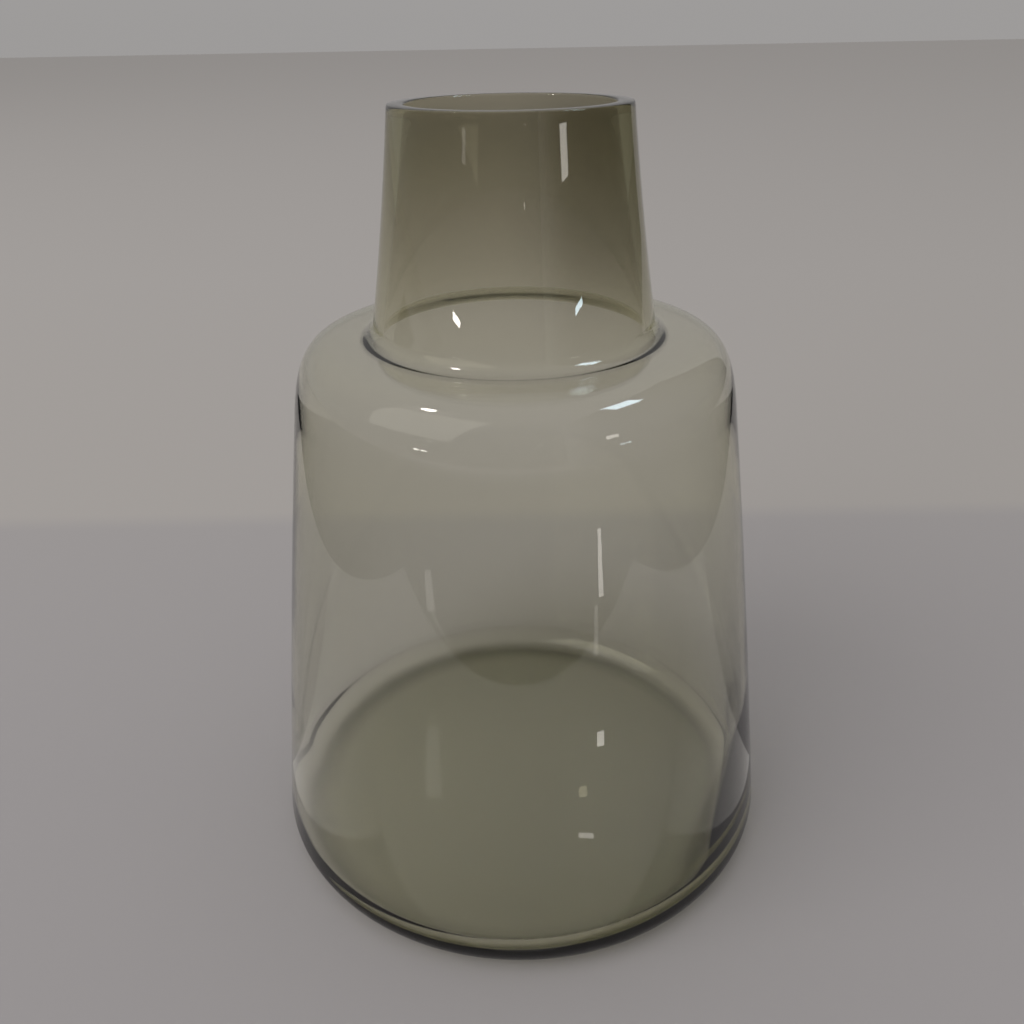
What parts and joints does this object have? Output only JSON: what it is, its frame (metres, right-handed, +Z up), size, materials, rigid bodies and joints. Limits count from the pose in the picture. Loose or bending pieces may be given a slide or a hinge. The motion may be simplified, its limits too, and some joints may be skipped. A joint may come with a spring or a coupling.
{
  "type": "glass cylinder vase",
  "caption": "Smoke-tinted blown glass vase: flat base, thin wide body narrowing upward, rounded shoulder, crease and thick conical neck with a cut rim.",
  "frame": {"origin": "on the table under the middle of the base, which is the bottom of the bounding box", "axes": "+Z up along the vase's own axis, out of the mouth; X and Y are alike because the vase is round"},
  "size_m": [0.1724, 0.1724, 0.24],
  "materials": {
    "glass": "polished, smoke-grey with an olive-brown cast"
  },
  "bodies": {
    "root": {"glass_vase": "glass"}
  },
  "joints": []
}
